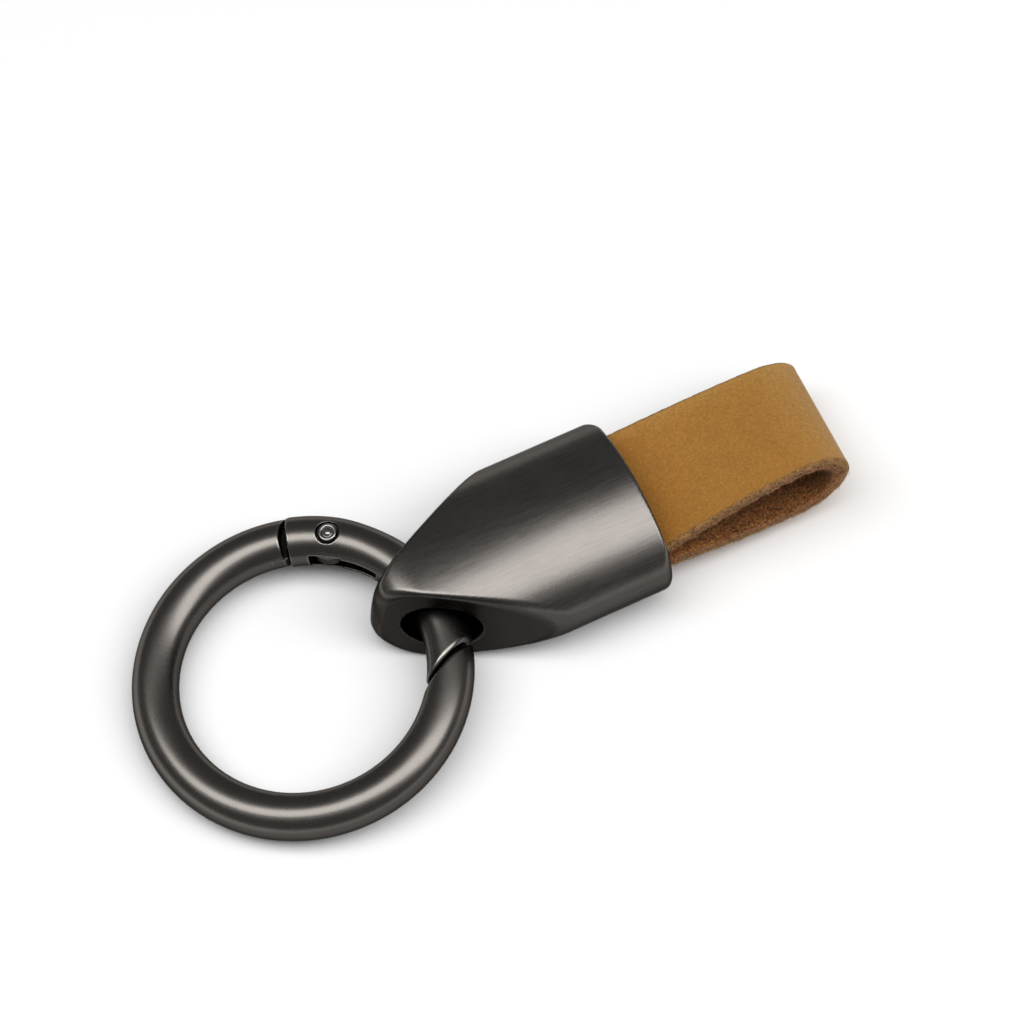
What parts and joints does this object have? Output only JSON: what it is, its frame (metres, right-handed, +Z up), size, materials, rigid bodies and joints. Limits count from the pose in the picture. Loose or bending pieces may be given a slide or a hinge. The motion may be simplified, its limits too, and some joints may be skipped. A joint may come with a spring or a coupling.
{
  "type": "key clip with spring-gate ring and leather loop",
  "caption": "Key clip: a spring-gate ring swings in the eye of a cast wedge-nosed hood, whose rear holds a folded leather loop.",
  "frame": {"origin": "middle of the flat on the hood's underside, on which the clip lies", "axes": "+X from the ring towards the leather loop, +Y away from the camera's side, +Z up"},
  "size_m": [0.0779, 0.0348, 0.0125],
  "materials": {
    "hood_metal": "satin gunmetal plating on cast zinc alloy",
    "ring_metal": "satin gunmetal plating on zinc alloy",
    "rivet_steel": "turned and plated",
    "screw_steel": "black oxide",
    "spring_steel": "bright drawn wire",
    "plunger_steel": "bright turned",
    "strap_leather": "mustard nubuck grain, raw cut edges, suede flesh side"
  },
  "bodies": {
    "hood_group": {"hood": "hood_metal", "strap": "strap_leather", "strap_screw": "screw_steel"},
    "ring_group": {"ring_body": "ring_metal"},
    "gate_group": {"gate": "ring_metal", "hinge_rivet": "rivet_steel", "gate_spring": "spring_steel"},
    "plunger_group": {"spring_plunger": "plunger_steel"}
  },
  "joints": [
    {"name": "ring_swing", "type": "hinge", "parent": "hood_group", "child": "ring_group", "pos_m": [-0.0123, -0.00186, 0.00595], "axis": [0, 1, 0], "range_deg": [-25, 100]},
    {"name": "gate_open", "type": "hinge", "parent": "ring_group", "child": "gate_group", "pos_m": [-0.01785, 0.01032, 0.00474], "axis": [0.0983, 0, -0.9952], "range_deg": [0, 2.2], "stiffness_Nm_per_rad": 0.05, "springref_deg": -11.46},
    {"name": "plunger_slide", "type": "slide", "parent": "gate_group", "child": "plunger_group", "axis": [0.6906, -0.7201, 0.0682], "range_m": [0, 0.0001]}
  ],
  "couplings": [
    {"joint": "plunger_slide", "follows": "gate_open", "m_per_rad": 0.00081}
  ]
}
